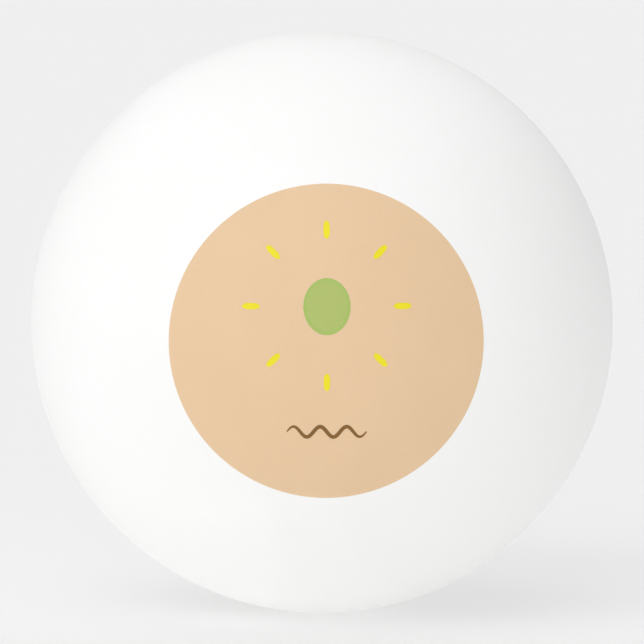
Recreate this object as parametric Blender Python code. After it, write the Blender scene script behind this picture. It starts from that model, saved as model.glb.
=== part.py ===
"""A table tennis ball: two moulded half shells, the cement that joins them, and the printed mark.

The ball's centre is the origin. The print faces -Y, +Z is up in the print, and the seam between
the half shells lies in the XZ plane. Lengths are in metres.
"""

import math

import bmesh
import bpy
from mathutils import Vector

MM = 0.001

# Shells
BALL_RADIUS = 20.0 * MM
WALL = 0.52 * MM
INNER_RADIUS = BALL_RADIUS - WALL

# Lap joint: the front shell's lip slides inside the rear shell's skirt
JOINT_GAP = 0.02 * MM
LAP_LENGTH = 0.9 * MM
LIP_RADIUS = BALL_RADIUS - WALL / 2 - JOINT_GAP / 2
SKIRT_RADIUS = LIP_RADIUS + JOINT_GAP

# Cement bead, in the pocket between the lip's end and the rear shell's shoulder
CEMENT_WIDTH = 0.3 * MM
CEMENT_BULGE = 0.06 * MM
POCKET_END = LAP_LENGTH + CEMENT_WIDTH + 2 * JOINT_GAP

# Ink layers, one on the other
INK_GAP = 0.01 * MM
INK_THICKNESS = 0.02 * MM
DISC_RADIUS = 10.42 * MM
DISC_INK_RADIUS = BALL_RADIUS + INK_GAP
MARK_CELL = 0.8 * MM
MARK_GAP = 0.02 * MM
MARK_INK_RADIUS = DISC_INK_RADIUS + INK_THICKNESS + MARK_GAP

# Printed marks, measured in the print's own plane from the disc's centre
OVAL_HEIGHT = 2.48 * MM
OVAL_HALF_WIDTH = 1.55 * MM
OVAL_HALF_LENGTH = 1.86 * MM
DASH_COUNT = 8
DASH_RING_RADIUS = 5.0 * MM
DASH_LENGTH = 1.15 * MM
DASH_WIDTH = 0.42 * MM
WAVE_HEIGHT = -5.85 * MM
WAVE_LENGTH = 5.2 * MM
WAVE_SWING = 0.35 * MM
WAVE_COUNT = 3
WAVE_WIDTH = 0.25 * MM
STROKE_END = 0.3
STROKE_BLUNTNESS = 4

# Facets
SEGMENTS = 72
DISC_STEPS = 6
SHELL_STEPS = 10
BEAD_STEPS = 6
OVAL_STEPS = 48
DASH_STEPS = 8
WAVE_STEPS = 48
SHARP_ANGLE = math.radians(40)
WELD = 0.0001 * MM
PATH_STEP = 0.001

# Polar angles, measured at the ball's centre from the middle of the print
EQUATOR = math.pi / 2
REAR_POLE = math.pi
DISC_ANGLE = math.asin(DISC_RADIUS / BALL_RADIUS)

WHITE_PLASTIC = (0.90, 0.90, 0.89)
CLEAR_CEMENT = (0.82, 0.81, 0.76)
TAN_INK = (0.80, 0.58, 0.37)
GREEN_INK = (0.42, 0.53, 0.15)
BROWN_INK = (0.25, 0.12, 0.03)
YELLOW_INK = (0.92, 0.79, 0.03)


def clear_scene():
    for obj in list(bpy.data.objects):
        bpy.data.objects.remove(obj, do_unlink=True)


def plain_material(name, colour, roughness):
    material = bpy.data.materials.new(name)
    material.use_nodes = True
    shader = material.node_tree.nodes["Principled BSDF"]
    shader.inputs["Base Color"].default_value = (*colour, 1.0)
    shader.inputs["Roughness"].default_value = roughness
    shader.inputs["Metallic"].default_value = 0.0
    return material


def add_object(name, bm, material):
    """Close the bmesh into an object whose faces point out and whose round faces shade smooth."""
    bmesh.ops.recalc_face_normals(bm, faces=bm.faces)
    mesh = bpy.data.meshes.new(name)
    bm.to_mesh(mesh)
    bm.free()
    mesh.materials.append(material)
    mesh.shade_smooth()
    mesh.set_sharp_from_angle(angle=SHARP_ANGLE)
    obj = bpy.data.objects.new(name, mesh)
    bpy.context.scene.collection.objects.link(obj)
    return obj


def even_steps(start, end, steps):
    return [start + (end - start) * i / steps for i in range(steps + 1)]


def on_sphere(radius, angle):
    """A point of a turned profile: its distance from the Y axis, and its place along it."""
    return radius * math.sin(angle), -radius * math.cos(angle)


def angle_at_depth(radius, depth):
    return math.acos(-depth / radius)


def turned(name, profile, material):
    """Turn a profile about the Y axis. A profile that starts and ends on the axis, or that closes
    on itself, gives a closed surface."""
    bm = bmesh.new()
    corners = [bm.verts.new((distance, depth, 0.0)) for distance, depth in profile]
    edges = [bm.edges.new(pair) for pair in zip(corners, corners[1:])]
    starts_on_axis = profile[0][0] < WELD
    if not starts_on_axis:
        edges.append(bm.edges.new((corners[-1], corners[0])))
    bmesh.ops.spin(
        bm,
        geom=corners + edges,
        cent=(0, 0, 0),
        axis=(0, 1, 0),
        angle=2 * math.pi,
        steps=SEGMENTS,
        use_merge=True,
    )
    bmesh.ops.remove_doubles(bm, verts=bm.verts, dist=WELD)
    return add_object(name, bm, material)


def front_half_shell(material):
    """The half that carries the print, with the inner lip of the lap joint at its open edge."""
    lip_end = angle_at_depth(INNER_RADIUS, LAP_LENGTH)
    front_angles = even_steps(0, DISC_ANGLE, DISC_STEPS)
    side_angles = even_steps(DISC_ANGLE, EQUATOR, SHELL_STEPS)[1:]
    outside = [on_sphere(BALL_RADIUS, a) for a in front_angles + side_angles]
    lip = [(LIP_RADIUS, 0.0), (LIP_RADIUS, LAP_LENGTH), on_sphere(INNER_RADIUS, lip_end)]
    inside = [on_sphere(INNER_RADIUS, a) for a in reversed(front_angles + side_angles)]
    return turned("front_half_shell", outside + lip + inside, material)


def rear_half_shell(material):
    """The plain half, with the outer skirt of the lap joint and the shoulder of the cement pocket."""
    skirt_end = angle_at_depth(BALL_RADIUS, JOINT_GAP)
    shoulder = angle_at_depth(INNER_RADIUS, POCKET_END)
    steps = DISC_STEPS + SHELL_STEPS
    outside = [on_sphere(BALL_RADIUS, a) for a in even_steps(REAR_POLE, skirt_end, steps)]
    skirt = [(SKIRT_RADIUS, JOINT_GAP), (SKIRT_RADIUS, POCKET_END)]
    inside = [on_sphere(INNER_RADIUS, a) for a in even_steps(shoulder, REAR_POLE, steps)]
    return turned("rear_half_shell", outside + skirt + inside, material)


def seam_cement(material):
    """The bead of solvent cement that fills the pocket and stands a little proud inside the ball."""
    near_end = LAP_LENGTH + JOINT_GAP
    far_end = POCKET_END - JOINT_GAP
    middle = (near_end + far_end) / 2
    wall_radius = on_sphere(INNER_RADIUS, angle_at_depth(INNER_RADIUS, middle))[0]
    bead = [
        (
            wall_radius - CEMENT_BULGE * math.sin(a),
            middle + (far_end - near_end) / 2 * math.cos(a),
        )
        for a in even_steps(0, math.pi, BEAD_STEPS)
    ]
    return turned("seam_cement", [(LIP_RADIUS, near_end), (LIP_RADIUS, far_end)] + bead, material)


def printed_disc(material):
    """The round background: a film of ink on the middle of the front shell."""
    angles = even_steps(0, DISC_ANGLE, DISC_STEPS)
    outside = [on_sphere(DISC_INK_RADIUS + INK_THICKNESS, a) for a in angles]
    inside = [on_sphere(DISC_INK_RADIUS, a) for a in reversed(angles)]
    return turned("printed_disc", outside + inside, material)


def cut_into_cells(bm):
    """Cut a flat face in the XZ plane along a square grid, so that it can follow the ball."""
    bmesh.ops.triangulate(bm, faces=bm.faces)
    for axis in (Vector((1, 0, 0)), Vector((0, 0, 1))):
        cells = [vert.co.dot(axis) / MARK_CELL for vert in bm.verts]
        for i in range(math.ceil(min(cells)), math.floor(max(cells)) + 1):
            geom = bm.verts[:] + bm.edges[:] + bm.faces[:]
            bmesh.ops.bisect_plane(bm, geom=geom, plane_co=axis * MARK_CELL * i, plane_no=axis)


def printed_mark(name, outline, material):
    """A film of ink over the disc. Its outline lies in the print's plane, and is carried straight
    back onto the ball."""
    bm = bmesh.new()
    bm.faces.new([bm.verts.new((x, 0.0, z)) for x, z in outline])
    cut_into_cells(bm)
    for vert in bm.verts:
        x, _, z = vert.co
        vert.co.y = -math.sqrt(MARK_INK_RADIUS**2 - x * x - z * z)
    grown = bmesh.ops.extrude_face_region(bm, geom=bm.faces[:])["geom"]
    for vert in grown:
        if isinstance(vert, bmesh.types.BMVert):
            vert.co *= 1 + INK_THICKNESS / MARK_INK_RADIUS
    bmesh.ops.triangulate(bm, faces=bm.faces)
    return add_object(name, bm, material)


def stroke(path, width, steps):
    """The outline of a pen stroke along path(t), with t from 0 to 1 and width(t) across it."""
    left, right = [], []
    for t in even_steps(0, 1, steps):
        here = Vector(path(t))
        along = (Vector(path(t + PATH_STEP)) - Vector(path(t - PATH_STEP))).normalized()
        across = Vector((-along.y, along.x)) * width(t) / 2
        left.append(tuple(here + across))
        right.append(tuple(here - across))
    return left + right[::-1]


def round_ended(full_width):
    """The width of a stroke that narrows to a blunt round end at both of its ends."""
    return lambda t: full_width * (1 - (1 - STROKE_END) * abs(2 * t - 1) ** STROKE_BLUNTNESS)


def printed_oval(material):
    """The upright oval in the middle of the ring of dashes."""
    turns = even_steps(0, math.tau, OVAL_STEPS)[:-1]
    outline = [
        (OVAL_HALF_WIDTH * math.cos(a), OVAL_HEIGHT + OVAL_HALF_LENGTH * math.sin(a))
        for a in turns
    ]
    return printed_mark("printed_oval", outline, material)


def printed_dash(number, material):
    """One of the short dashes that stand evenly round the oval and point at its middle."""
    angle = math.tau * number / DASH_COUNT
    direction = Vector((math.cos(angle), math.sin(angle)))
    centre = Vector((0, OVAL_HEIGHT))

    def path(t):
        return centre + direction * (DASH_RING_RADIUS + DASH_LENGTH * (t - 0.5))

    outline = stroke(path, round_ended(DASH_WIDTH), DASH_STEPS)
    return printed_mark(f"printed_dash_{number}", outline, material)


def printed_wave(material):
    """A plain wavy line under the ring of dashes."""

    def path(t):
        swing = WAVE_SWING * math.sin(math.tau * WAVE_COUNT * t)
        return WAVE_LENGTH * (t - 0.5), WAVE_HEIGHT + swing

    outline = stroke(path, round_ended(WAVE_WIDTH), WAVE_STEPS)
    return printed_mark("printed_wave", outline, material)


def main():
    clear_scene()
    shell_plastic = plain_material("shell_plastic", WHITE_PLASTIC, 0.55)
    cement = plain_material("cement", CLEAR_CEMENT, 0.4)
    tan_ink = plain_material("tan_ink", TAN_INK, 0.6)
    green_ink = plain_material("green_ink", GREEN_INK, 0.6)
    brown_ink = plain_material("brown_ink", BROWN_INK, 0.6)
    yellow_ink = plain_material("yellow_ink", YELLOW_INK, 0.6)

    front_half_shell(shell_plastic)
    rear_half_shell(shell_plastic)
    seam_cement(cement)
    printed_disc(tan_ink)
    printed_oval(green_ink)
    printed_wave(brown_ink)
    for number in range(1, DASH_COUNT + 1):
        printed_dash(number, yellow_ink)


main()
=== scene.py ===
"""The looks of the table tennis ball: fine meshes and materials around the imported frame.

Units are metres, in the frame's own axes: the print faces -Y and +Z is up.
"""

import math

import bmesh
import bpy
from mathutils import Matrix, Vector
from mathutils.kdtree import KDTree


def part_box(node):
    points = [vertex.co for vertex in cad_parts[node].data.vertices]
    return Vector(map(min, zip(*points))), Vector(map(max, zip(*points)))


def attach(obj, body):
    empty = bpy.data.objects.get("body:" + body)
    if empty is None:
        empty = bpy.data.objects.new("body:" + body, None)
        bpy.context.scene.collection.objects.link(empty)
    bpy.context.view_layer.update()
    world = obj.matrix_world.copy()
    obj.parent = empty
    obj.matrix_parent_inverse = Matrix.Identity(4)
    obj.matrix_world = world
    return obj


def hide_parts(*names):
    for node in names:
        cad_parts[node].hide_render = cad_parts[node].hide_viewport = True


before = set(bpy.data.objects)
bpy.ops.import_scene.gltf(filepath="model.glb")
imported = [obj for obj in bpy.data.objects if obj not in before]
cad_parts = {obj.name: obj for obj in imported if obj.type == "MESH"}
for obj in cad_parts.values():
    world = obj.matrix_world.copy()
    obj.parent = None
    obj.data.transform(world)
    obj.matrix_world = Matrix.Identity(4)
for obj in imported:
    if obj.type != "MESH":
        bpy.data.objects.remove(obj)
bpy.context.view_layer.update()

MM = 0.001
WALL = 0.52 * MM

# The ball, from the frame. The ring of cement fills the pocket past the end of the lip, so its
# box also gives the lip.
BALL_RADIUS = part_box("front_half_shell")[1].x
FLOOR_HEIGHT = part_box("front_half_shell")[0].z
DISC_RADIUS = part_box("printed_disc")[1].x
INNER_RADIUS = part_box("rear_half_shell")[1].y - WALL
LIP_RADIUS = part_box("seam_cement")[1].x
LIP_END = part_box("seam_cement")[0].y
POCKET_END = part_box("seam_cement")[1].y

# The joint: the gap between the halves, their rounded edges, and the cement inside and outside
SKIRT_GAP = 0.02 * MM
EDGE_ROUND = 0.09 * MM
BEAD_BULGE = 0.06 * MM
SEAM_SINK = 0.03 * MM
THREAD_WIDTH = 0.072 * MM
THREAD_CROWN = 0.008 * MM

# Ink films. Each lies just clear of what is under it, and a mark's film is cut into small cells.
INK_THICKNESS = 0.01 * MM
DISC_GAP = 0.004 * MM
MARK_GAP = 0.003 * MM
DISC_INK_RADIUS = BALL_RADIUS + DISC_GAP
MARK_INK_RADIUS = DISC_INK_RADIUS + INK_THICKNESS + MARK_GAP
INK_CELL = 0.1 * MM
INK_SLIVER = 0.002 * MM
POOL_WIDTH = 0.3 * MM

# Printed marks
DASH_COUNT = 8
WAVE_COUNT = 3
WAVE_WIDTH = 0.25 * MM
# The width of a stroke's very ends, as a share of its full width, and how late it narrows
STROKE_END = 0.3
STROKE_BLUNTNESS = 4

# Facets
TURNS = 240
ARC_STEPS = 90
DISC_STEPS = 60
EDGE_STEPS = 5
OVAL_STEPS = 128
DASH_STEPS = 24
WAVE_STEPS = 120
PATH_NUDGE = 0.001
SHARP_ANGLE = math.radians(50)
ON_AXIS = 0.00005 * MM

# Colours, and how much of each channel is left where a mark's ink pools
SHELL_WHITE = (0.975, 0.975, 0.972)
CEMENT_CREAM = (0.9, 0.895, 0.87)
TAN = (0.825, 0.594, 0.376)
GREEN = (0.44, 0.54, 0.158)
GREEN_POOLED = (0.86, 1.0, 0.8)
YELLOW = (0.9, 0.79, 0.022)
YELLOW_POOLED = (0.98, 0.97, 0.9)
BROWN = (0.26, 0.128, 0.032)
BROWN_POOLED = (0.93, 0.9, 0.85)

# Camera. The ball's radius is a share of the picture's width.
CAMERA_DISTANCE = 23 * BALL_RADIUS
CAMERA_AZIMUTH = math.radians(-0.94)
CAMERA_ELEVATION = math.radians(4.24)
BALL_SHARE = 0.4516
SENSOR = 36.0
NEAREST_SEEN = 0.01
FARTHEST_SEEN = 50

# Light. The surroundings are as pale as the floor at the horizon, so that no edge shows there.
PALE = 0.871
UNDERGLOW = 0.22
# Height of a direction, from -1 to 1, and the grey of the surroundings there
SKY = ((-0.06, UNDERGLOW), (-0.04, PALE), (0.03, PALE), (0.08, 0.0))
DIFFUSE_BOUNCES = 12
# Name, azimuth, elevation and width in degrees, and strength
SOFT_LIGHTS = (
    ("front_left", -30, 22, 66, 1.18),
    ("upper_front", -15, 58, 64, 0.56),
    ("low_right", 65, 4, 40, 0.53),
    ("low_left", -70, -25, 80, 0.3),
    ("left_side", -95, 12, 64, 0.4),
    ("back_right", 150, 59, 100, 0.83),
    ("back_left", -160, 50, 100, 0.52),
    ("overhead", 0, 88, 120, 0.65),
)
FLOOR_RADIUS = 200 * BALL_RADIUS
FLOOR_SIDES = 96
FLOOR_COLOUR = 0.6
FLOOR_GLOW = 0.32
FLOOR_ROUGHNESS = 0.9


def even_steps(start, end, steps):
    return [start + (end - start) * i / steps for i in range(steps + 1)]


def on_sphere(radius, angle):
    """A point of a turned profile, at an angle from the print's middle: (from the axis, along it)."""
    return radius * math.sin(angle), -radius * math.cos(angle)


def add_piece(name, mesh, material, node):
    """Show a mesh as a piece that stands for a CAD node, or for none."""
    mesh.materials.append(material)
    mesh.shade_smooth()
    mesh.set_sharp_from_angle(angle=SHARP_ANGLE)
    piece = bpy.data.objects.new(name, mesh)
    bpy.context.scene.collection.objects.link(piece)
    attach(piece, "root")
    if node:
        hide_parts(node)
    return piece


def turned(name, profile, material, node):
    """Turn a profile about the Y axis into a closed surface. The profile starts and ends on the
    axis, or closes on itself."""
    rings, points, faces = [], [], []
    for distance, depth in profile:
        first = len(points)
        if distance < ON_AXIS:
            points.append((0.0, depth, 0.0))
            rings.append([first] * TURNS)
            continue
        for i in range(TURNS):
            turn = math.tau * i / TURNS
            points.append((distance * math.cos(turn), depth, distance * math.sin(turn)))
        rings.append(list(range(first, first + TURNS)))
    if profile[0][0] >= ON_AXIS:
        rings.append(rings[0])
    for ring, following in zip(rings, rings[1:]):
        for i in range(TURNS):
            j = (i + 1) % TURNS
            corners = (ring[i], following[i], following[j], ring[j])
            faces.append(tuple(dict.fromkeys(corners)))
    mesh = bpy.data.meshes.new(name)
    mesh.from_pydata(points, [], faces)
    return add_piece(name, facing_out(mesh), material, node)


def facing_out(mesh):
    bm = bmesh.new()
    bm.from_mesh(mesh)
    bmesh.ops.recalc_face_normals(bm, faces=bm.faces)
    bm.to_mesh(mesh)
    bm.free()
    return mesh


def rounded_corner(centre, radius, start, end):
    return [
        (centre[0] + radius * math.cos(a), centre[1] + radius * math.sin(a))
        for a in even_steps(start, end, EDGE_STEPS)
    ]


def front_shell(material):
    near_seam = math.pi / 2 - EDGE_ROUND / BALL_RADIUS
    lip_end = math.acos(-(LIP_END - SKIRT_GAP) / INNER_RADIUS)
    outside = [on_sphere(BALL_RADIUS, a) for a in even_steps(0, near_seam, ARC_STEPS)]
    corner = rounded_corner(
        (BALL_RADIUS - EDGE_ROUND, -EDGE_ROUND), EDGE_ROUND, 0, math.pi / 2
    )
    lip = [(LIP_RADIUS, 0.0), (LIP_RADIUS, LIP_END - SKIRT_GAP)]
    inside = [on_sphere(INNER_RADIUS, a) for a in even_steps(lip_end, 0, ARC_STEPS)]
    profile = outside + corner[1:] + lip + inside
    return turned("front_shell", profile, material, "front_half_shell")


def rear_shell(material):
    near_seam = math.pi / 2 + (EDGE_ROUND + SKIRT_GAP) / BALL_RADIUS
    shoulder = math.acos(-(POCKET_END + SKIRT_GAP) / INNER_RADIUS)
    skirt = LIP_RADIUS + SKIRT_GAP
    outside = [on_sphere(BALL_RADIUS, a) for a in even_steps(math.pi, near_seam, ARC_STEPS)]
    corner = rounded_corner(
        (BALL_RADIUS - EDGE_ROUND, EDGE_ROUND + SKIRT_GAP), EDGE_ROUND, 0, -math.pi / 2
    )
    joint = [(skirt, SKIRT_GAP), (skirt, POCKET_END + SKIRT_GAP)]
    inside = [on_sphere(INNER_RADIUS, a) for a in even_steps(shoulder, math.pi, ARC_STEPS)]
    profile = outside + corner[1:] + joint + inside
    return turned("rear_shell", profile, material, "rear_half_shell")


def seam_bead(material):
    """The cement inside the ball, swollen a little past the wall."""
    middle = (LIP_END + POCKET_END) / 2
    half = (POCKET_END - LIP_END) / 2
    wall = on_sphere(INNER_RADIUS, math.acos(-middle / INNER_RADIUS))[0]
    bulge = [
        (wall - BEAD_BULGE * math.sin(a), middle + half * math.cos(a))
        for a in even_steps(0, math.pi, 2 * EDGE_STEPS)
    ]
    profile = [(LIP_RADIUS, LIP_END), (LIP_RADIUS, POCKET_END)] + bulge
    return turned("seam_bead", profile, material, "seam_cement")


def seam_thread(material):
    """The thread of cement that fills the groove between the shells' rounded outer edges."""
    top = BALL_RADIUS - SEAM_SINK
    middle = SKIRT_GAP / 2
    crown = [
        (top + THREAD_CROWN * math.cos(a), middle + THREAD_WIDTH / 2 * math.sin(a))
        for a in even_steps(-math.pi / 2, math.pi / 2, 2 * EDGE_STEPS)
    ]
    root = (BALL_RADIUS - EDGE_ROUND, middle)
    return turned("seam_thread", crown + [root], material, None)


def print_disc(material):
    edge = math.asin(DISC_RADIUS / BALL_RADIUS)
    angles = even_steps(0, edge, DISC_STEPS)
    outside = [on_sphere(DISC_INK_RADIUS + INK_THICKNESS, a) for a in angles]
    inside = [on_sphere(DISC_INK_RADIUS, a) for a in reversed(angles)]
    return turned("print_disc", outside + inside, material, "printed_disc")


def cut_into_cells(bm):
    """Cut a flat face along a square grid, so that it can follow the sphere, and clear away the
    slivers."""
    bmesh.ops.triangulate(bm, faces=bm.faces)
    for axis in (Vector((1, 0, 0)), Vector((0, 0, 1))):
        cells = [vert.co.dot(axis) / INK_CELL for vert in bm.verts]
        for i in range(math.ceil(min(cells)), math.floor(max(cells)) + 1):
            geom = bm.verts[:] + bm.edges[:] + bm.faces[:]
            bmesh.ops.bisect_plane(
                bm, geom=geom, dist=INK_SLIVER, plane_co=axis * INK_CELL * i, plane_no=axis
            )
    bmesh.ops.remove_doubles(bm, verts=bm.verts, dist=INK_SLIVER)
    bmesh.ops.dissolve_degenerate(bm, edges=bm.edges, dist=INK_SLIVER)


def nearness_to_outline(bm):
    """1 for a point on the film's outline, falling to 0 at POOL_WIDTH inside it."""
    rim = [vert.co.copy() for vert in bm.verts if vert.is_boundary]
    tree = KDTree(len(rim))
    for i, point in enumerate(rim):
        tree.insert(point, i)
    tree.balance()
    return [max(0.0, 1 - tree.find(vert.co)[2] / POOL_WIDTH) for vert in bm.verts]


def ink_mark(name, outline, material, node):
    """A film whose outline lies in the print's plane, carried straight back onto the ball. Its
    ink pools along the outline, which the attribute "pooled" tells the material."""
    bm = bmesh.new()
    bm.faces.new([bm.verts.new((x, 0.0, z)) for x, z in outline])
    cut_into_cells(bm)
    pooled = bm.verts.layers.float.new("pooled")
    for vert, nearness in zip(bm.verts, nearness_to_outline(bm)):
        vert[pooled] = nearness
    for vert in bm.verts:
        x, _, z = vert.co
        vert.co.y = -math.sqrt(MARK_INK_RADIUS**2 - x * x - z * z)
    grown = bmesh.ops.extrude_face_region(bm, geom=bm.faces[:])["geom"]
    for vert in grown:
        if isinstance(vert, bmesh.types.BMVert):
            vert.co *= 1 + INK_THICKNESS / MARK_INK_RADIUS
    mesh = bpy.data.meshes.new(name)
    bm.to_mesh(mesh)
    bm.free()
    return add_piece(name, facing_out(mesh), material, node)


def stroke(path, width, steps):
    """The outline of a line of varying width, along a path from 0 to 1."""
    left, right = [], []
    for t in even_steps(0, 1, steps):
        here = Vector(path(t))
        along = (Vector(path(t + PATH_NUDGE)) - Vector(path(t - PATH_NUDGE))).normalized()
        across = Vector((-along.y, along.x)) * width(t) / 2
        left.append(tuple(here + across))
        right.append(tuple(here - across))
    return left + right[::-1]


def round_ended(full_width):
    """The width of a stroke that narrows to a blunt round end at both of its ends."""
    return lambda t: full_width * (1 - (1 - STROKE_END) * abs(2 * t - 1) ** STROKE_BLUNTNESS)


def print_oval(material):
    low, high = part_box("printed_oval")
    half_width = (high.x - low.x) / 2
    half_length = (high.z - low.z) / 2
    middle = (low.z + high.z) / 2
    outline = [
        (half_width * math.cos(a), middle + half_length * math.sin(a))
        for a in even_steps(0, math.tau, OVAL_STEPS)[:-1]
    ]
    return ink_mark("print_oval", outline, material, "printed_oval")


def print_dash(number, ring_height, length, width, material):
    """A dash that points away from the middle of the ring."""
    node = f"printed_dash_{number}"
    low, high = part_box(node)
    centre = Vector(((low.x + high.x) / 2, (low.z + high.z) / 2))
    out = (centre - Vector((0, ring_height))).normalized()

    def path(t):
        return centre + out * length * (t - 0.5)

    outline = stroke(path, round_ended(width), DASH_STEPS)
    return ink_mark(f"print_dash_{number}", outline, material, node)


def print_dashes(material):
    """The ring of dashes. The one that lies level gives their length, their width and the ring's
    height."""
    low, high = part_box(f"printed_dash_{DASH_COUNT}")
    ring_height = (low.z + high.z) / 2
    for number in range(1, DASH_COUNT + 1):
        print_dash(number, ring_height, high.x - low.x, high.z - low.z, material)


def print_wave(material):
    low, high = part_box("printed_wave")
    length = high.x - low.x
    middle = (low.z + high.z) / 2
    swing = (high.z - low.z - WAVE_WIDTH) / 2

    def path(t):
        return length * (t - 0.5), middle + swing * math.sin(math.tau * WAVE_COUNT * t)

    outline = stroke(path, round_ended(WAVE_WIDTH), WAVE_STEPS)
    return ink_mark("print_wave", outline, material, "printed_wave")


class Surface:
    """A matte material built up in layers on one Principled BSDF, in the object's own space."""

    def __init__(self, name, colour):
        self.material = bpy.data.materials.new(name)
        self.material.use_nodes = True
        self.nodes = self.material.node_tree.nodes
        self.links = self.material.node_tree.links
        self.shader = self.nodes["Principled BSDF"]
        self.place = self.nodes.new("ShaderNodeTexCoord").outputs["Object"]
        self.base = (*colour, 1)
        self.colour = None
        self.normal = None

    def noise(self, size, detail):
        """Soft noise from 0 to 1 whose lumps are about this size."""
        node = self.nodes.new("ShaderNodeTexNoise")
        node.inputs["Scale"].default_value = 1 / size
        node.inputs["Detail"].default_value = detail
        self.links.new(self.place, node.inputs["Vector"])
        return node.outputs["Fac"]

    def spread(self, source, low, high, start=0.3, end=0.7):
        """The source's stretch from start to end, mapped to low and high."""
        node = self.nodes.new("ShaderNodeMapRange")
        node.inputs["From Min"].default_value = start
        node.inputs["From Max"].default_value = end
        node.inputs["To Min"].default_value = low
        node.inputs["To Max"].default_value = high
        self.links.new(source, node.inputs["Value"])
        return node.outputs["Result"]

    def tint(self, factor, by):
        """Multiply the colour by this tint, as far as the factor says."""
        node = self.nodes.new("ShaderNodeMix")
        node.data_type = "RGBA"
        node.blend_type = "MULTIPLY"
        self.links.new(factor, node.inputs["Factor"])
        node.inputs["A"].default_value = self.base
        if self.colour:
            self.links.new(self.colour, node.inputs["A"])
        node.inputs["B"].default_value = (*by, 1)
        self.colour = node.outputs["Result"]

    def bump(self, height, depth):
        """Raise the surface by up to this depth where the height is 1."""
        node = self.nodes.new("ShaderNodeBump")
        node.inputs["Distance"].default_value = depth
        self.links.new(height, node.inputs["Height"])
        if self.normal:
            self.links.new(self.normal, node.inputs["Normal"])
        self.normal = node.outputs["Normal"]

    def finish(self, roughness, specular):
        """Join the layers to the shader. Roughness is an output that varies over the surface."""
        self.links.new(self.colour, self.shader.inputs["Base Color"])
        self.links.new(roughness, self.shader.inputs["Roughness"])
        self.links.new(self.normal, self.shader.inputs["Normal"])
        self.shader.inputs["Specular IOR Level"].default_value = specular
        return self.material


def shell_material():
    """White moulded plastic: an even satin skin with a tumbled grain and faint flow clouds."""
    surface = Surface("moulded_plastic", SHELL_WHITE)
    flow_clouds = surface.noise(9 * MM, 3)
    mottle = surface.noise(0.5 * MM, 2)
    tumbling_dents = surface.noise(0.9 * MM, 2)
    fine_grain = surface.noise(0.11 * MM, 3)
    sheen_patches = surface.noise(1.6 * MM, 4)
    surface.tint(surface.spread(flow_clouds, 0, 1), (0.988, 0.988, 0.984))
    surface.tint(surface.spread(mottle, 0, 1), (0.992, 0.992, 0.99))
    surface.bump(tumbling_dents, 0.0008 * MM)
    surface.bump(fine_grain, 0.0005 * MM)
    return surface.finish(surface.spread(sheen_patches, 0.5, 0.62), 0.3)


def cement_material():
    """Dried solvent cement: clear to cream, smoother than the plastic, with drying ripples."""
    surface = Surface("dried_cement", CEMENT_CREAM)
    yellowing = surface.noise(1.5 * MM, 3)
    ripples = surface.noise(0.6 * MM, 2)
    fine_grain = surface.noise(0.1 * MM, 2)
    sheen_patches = surface.noise(0.8 * MM, 3)
    surface.tint(surface.spread(yellowing, 0, 1), (0.94, 0.93, 0.9))
    surface.bump(ripples, 0.004 * MM)
    surface.bump(fine_grain, 0.001 * MM)
    return surface.finish(surface.spread(sheen_patches, 0.28, 0.42), 0.5)


def ink_surface(name, colour):
    """Printed ink: slightly uneven cover, with a fine speckle where the film is thinner."""
    surface = Surface(name, colour)
    uneven_cover = surface.noise(3.5 * MM, 4)
    speckle = surface.noise(0.22 * MM, 3)
    film_ripples = surface.noise(0.4 * MM, 2)
    fine_grain = surface.noise(0.08 * MM, 2)
    surface.tint(surface.spread(uneven_cover, 0, 1), (0.985, 0.98, 0.972))
    surface.tint(surface.spread(speckle, 0, 1), (0.985, 0.98, 0.97))
    surface.bump(film_ripples, 0.0012 * MM)
    surface.bump(fine_grain, 0.0005 * MM)
    return surface


def flat_ink(name, colour):
    """Ink of an even thickness, with a sheen that varies a little."""
    surface = ink_surface(name, colour)
    sheen_patches = surface.noise(1.1 * MM, 3)
    return surface.finish(surface.spread(sheen_patches, 0.52, 0.66), 0.3)


def pooled_ink(name, colour, pooled):
    """Ink that is deeper in colour, thicker and glossier where it gathers along a mark's edge."""
    surface = ink_surface(name, colour)
    edge = surface.nodes.new("ShaderNodeAttribute")
    edge.attribute_name = "pooled"
    depth = surface.spread(edge.outputs["Fac"], 0, 1, 0, 1)
    surface.tint(depth, pooled)
    surface.bump(depth, 0.006 * MM)
    return surface.finish(surface.spread(edge.outputs["Fac"], 0.6, 0.5, 0, 1), 0.3)


def floor():
    bm = bmesh.new()
    bmesh.ops.create_circle(bm, cap_ends=True, segments=FLOOR_SIDES, radius=FLOOR_RADIUS)
    mesh = bpy.data.meshes.new("floor")
    bm.to_mesh(mesh)
    bm.free()
    obj = bpy.data.objects.new("floor", mesh)
    obj.location.z = FLOOR_HEIGHT
    bpy.context.scene.collection.objects.link(obj)
    material = bpy.data.materials.new("pale_floor")
    material.use_nodes = True
    shader = material.node_tree.nodes["Principled BSDF"]
    shader.inputs["Base Color"].default_value = (FLOOR_COLOUR, FLOOR_COLOUR, FLOOR_COLOUR, 1)
    shader.inputs["Emission Color"].default_value = (1, 1, 1, 1)
    shader.inputs["Emission Strength"].default_value = FLOOR_GLOW
    shader.inputs["Roughness"].default_value = FLOOR_ROUGHNESS
    shader.inputs["Specular IOR Level"].default_value = 0.0
    mesh.materials.append(material)
    # The floor lets light through from below, which brightens the ball's underside.
    obj.visible_shadow = False


def direction(azimuth, elevation):
    """A unit vector; azimuth 0 points along -Y, towards the camera's side."""
    return Vector(
        (
            math.sin(azimuth) * math.cos(elevation),
            -math.cos(azimuth) * math.cos(elevation),
            math.sin(elevation),
        )
    )


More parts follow.
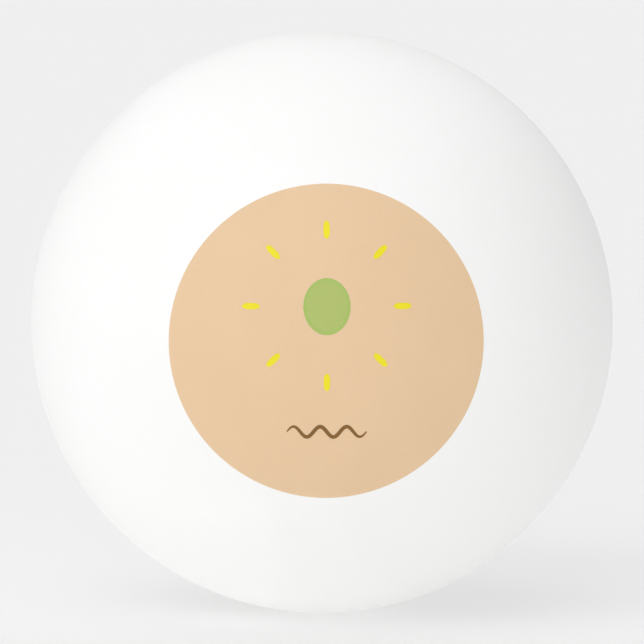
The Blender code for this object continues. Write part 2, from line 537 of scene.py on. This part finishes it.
def soft_light(name, azimuth, elevation, width, strength):
    data = bpy.data.lights.new(name, "SUN")
    data.energy = strength
    data.angle = math.radians(width)
    obj = bpy.data.objects.new(name, data)
    obj.rotation_mode = "QUATERNION"
    out = direction(math.radians(azimuth), math.radians(elevation))
    obj.rotation_quaternion = out.to_track_quat("Z", "Y")
    bpy.context.scene.collection.objects.link(obj)


def studio_world():
    """Surroundings whose grey depends only on the height of the direction, as SKY says."""
    world = bpy.data.worlds.new("studio")
    bpy.context.scene.world = world
    world.use_nodes = True
    nodes, links = world.node_tree.nodes, world.node_tree.links
    place = nodes.new("ShaderNodeTexCoord")
    split = nodes.new("ShaderNodeSeparateXYZ")
    height = nodes.new("ShaderNodeMapRange")
    height.inputs["From Min"].default_value = -1.0
    ramp = nodes.new("ShaderNodeValToRGB")
    links.new(place.outputs["Generated"], split.inputs["Vector"])
    links.new(split.outputs["Z"], height.inputs["Value"])
    links.new(height.outputs["Result"], ramp.inputs["Fac"])
    links.new(ramp.outputs["Color"], nodes["Background"].inputs["Color"])
    stops = ramp.color_ramp.elements
    for z, _ in SKY[1:-1]:
        stops.new((z + 1) / 2)
    for stop, (z, grey) in zip(stops, SKY):
        stop.position = (z + 1) / 2
        stop.color = (grey, grey, grey, 1)


def camera():
    data = bpy.data.cameras.new("camera")
    data.sensor_width = SENSOR
    spread = BALL_RADIUS / math.sqrt(CAMERA_DISTANCE**2 - BALL_RADIUS**2)
    data.lens = SENSOR * BALL_SHARE / spread
    data.clip_start = NEAREST_SEEN
    data.clip_end = FARTHEST_SEEN
    obj = bpy.data.objects.new("camera", data)
    out = direction(CAMERA_AZIMUTH, CAMERA_ELEVATION)
    obj.location = out * CAMERA_DISTANCE
    obj.rotation_mode = "QUATERNION"
    obj.rotation_quaternion = (-out).to_track_quat("-Z", "Y")
    bpy.context.scene.collection.objects.link(obj)
    bpy.context.scene.camera = obj


def main():
    bpy.context.scene.view_settings.view_transform = "Standard"
    bpy.context.scene.cycles.diffuse_bounces = DIFFUSE_BOUNCES
    shell = shell_material()
    cement = cement_material()
    front_shell(shell)
    rear_shell(shell)
    seam_bead(cement)
    seam_thread(cement)
    print_disc(flat_ink("tan_print", TAN))
    print_oval(pooled_ink("green_print", GREEN, GREEN_POOLED))
    print_dashes(pooled_ink("yellow_print", YELLOW, YELLOW_POOLED))
    print_wave(pooled_ink("brown_print", BROWN, BROWN_POOLED))
    floor()
    for light in SOFT_LIGHTS:
        soft_light(*light)
    studio_world()
    camera()


main()
